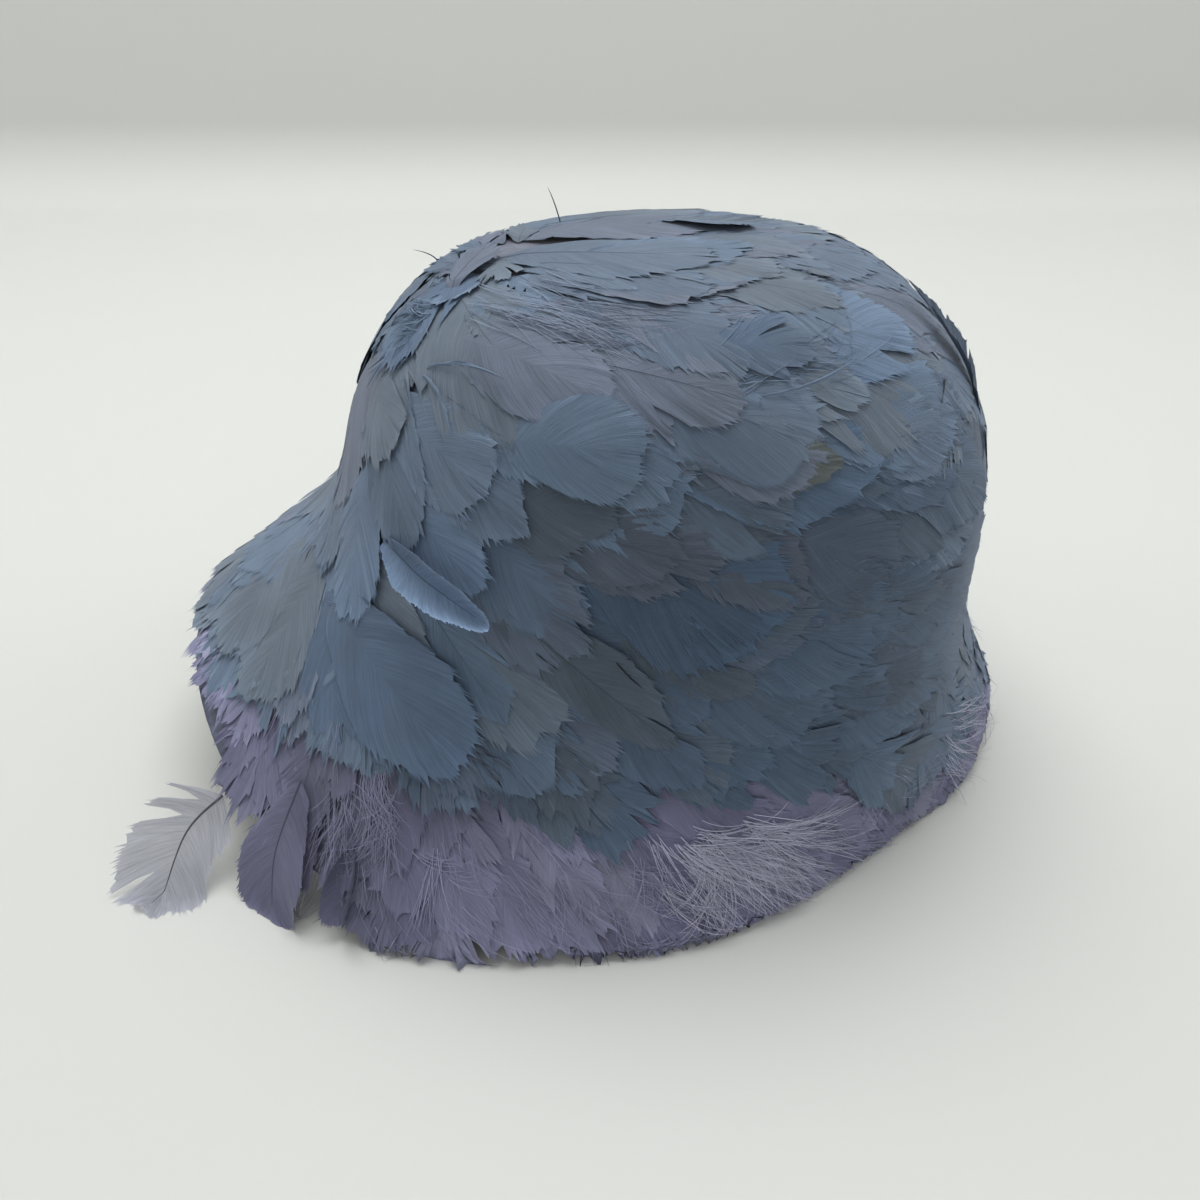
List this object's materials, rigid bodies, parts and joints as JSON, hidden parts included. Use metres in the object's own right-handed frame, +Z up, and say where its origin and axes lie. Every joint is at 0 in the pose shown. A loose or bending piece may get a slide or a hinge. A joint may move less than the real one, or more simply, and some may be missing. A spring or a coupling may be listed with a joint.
{
  "type": "cloche hat",
  "caption": "Felt cloche hat with a rounded crown and turned-down brim, covered in overlapping slate-blue and lilac feathers.",
  "frame": {"origin": "middle of the underside of the hat's bounding box, on the surface that the brim stands on", "axes": "+Z up through the crown, -Y towards the front of the brim, +X towards the wearer's left"},
  "size_m": [0.2478, 0.2902, 0.1681],
  "materials": {
    "felt_tip": "matt pressed felt",
    "felt_crown": "matt pressed felt",
    "felt_brim": "matt pressed felt",
    "crown_tip_feathers": "soft dyed feather",
    "crown_upper_feathers": "soft dyed feather",
    "crown_middle_feathers": "soft dyed feather",
    "crown_lower_feathers": "soft dyed feather",
    "waist_feathers": "soft dyed feather",
    "brim_feathers": "soft dyed feather",
    "lilac_border_feathers": "soft dyed feather",
    "curled_feather": "soft dyed feather",
    "lifted_feather": "soft dyed feather",
    "hanging_feather": "soft dyed feather",
    "loose_feather": "thin pale feather",
    "tucked_feather": "soft dyed feather"
  },
  "bodies": {
    "root": {"felt_tip": "felt_tip", "felt_crown": "felt_crown", "felt_brim": "felt_brim", "crown_tip_feathers": "crown_tip_feathers", "crown_upper_feathers": "crown_upper_feathers", "crown_middle_feathers": "crown_middle_feathers", "crown_lower_feathers": "crown_lower_feathers", "waist_feathers": "waist_feathers", "brim_feathers": "brim_feathers", "lilac_border_feathers": "lilac_border_feathers", "curled_feather": "curled_feather", "lifted_feather": "lifted_feather", "hanging_feather": "hanging_feather", "loose_feather": "loose_feather", "tucked_feather": "tucked_feather"}
  },
  "joints": []
}
